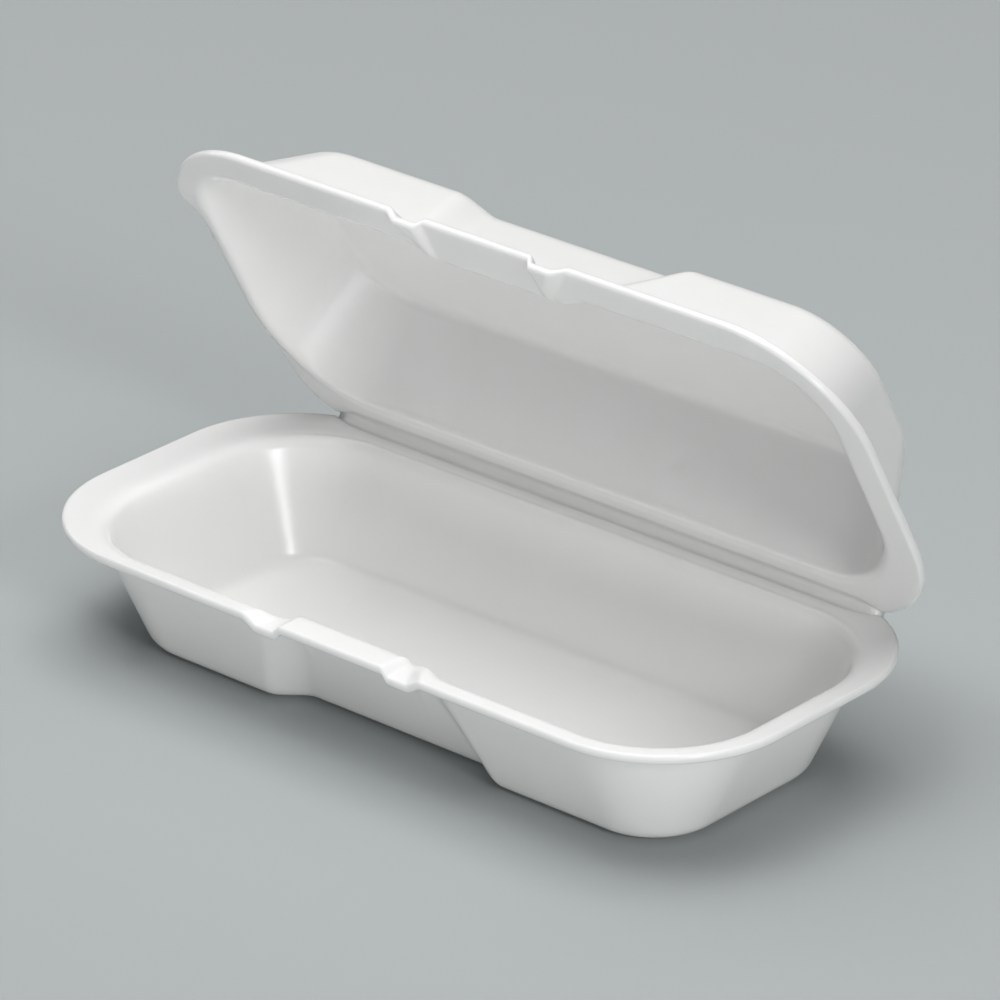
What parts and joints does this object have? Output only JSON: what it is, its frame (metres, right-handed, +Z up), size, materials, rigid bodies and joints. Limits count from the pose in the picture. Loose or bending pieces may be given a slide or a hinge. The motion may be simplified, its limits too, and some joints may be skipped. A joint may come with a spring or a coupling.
{
  "type": "foam hot dog container",
  "caption": "Hinged foam food container with a rounded oblong tray, a matching domed lid on a crease along the back, and a finger recess and closing tab at the front.",
  "frame": {"origin": "middle of the flat underside of the tray", "axes": "+X along the length, +Y towards the hinge crease, +Z up"},
  "size_m": [0.1879, 0.0969, 0.103],
  "materials": {
    "foam": "smooth white foam skin with a slight sheen"
  },
  "bodies": {
    "tray": {"tray": "foam"},
    "lid": {"lid": "foam"}
  },
  "joints": [
    {"name": "lid_hinge", "type": "hinge", "parent": "tray", "child": "lid", "pos_m": [0, 0.0443, 0.02695], "axis": [-1, 0, 0], "range_deg": [-61, 119]}
  ]
}
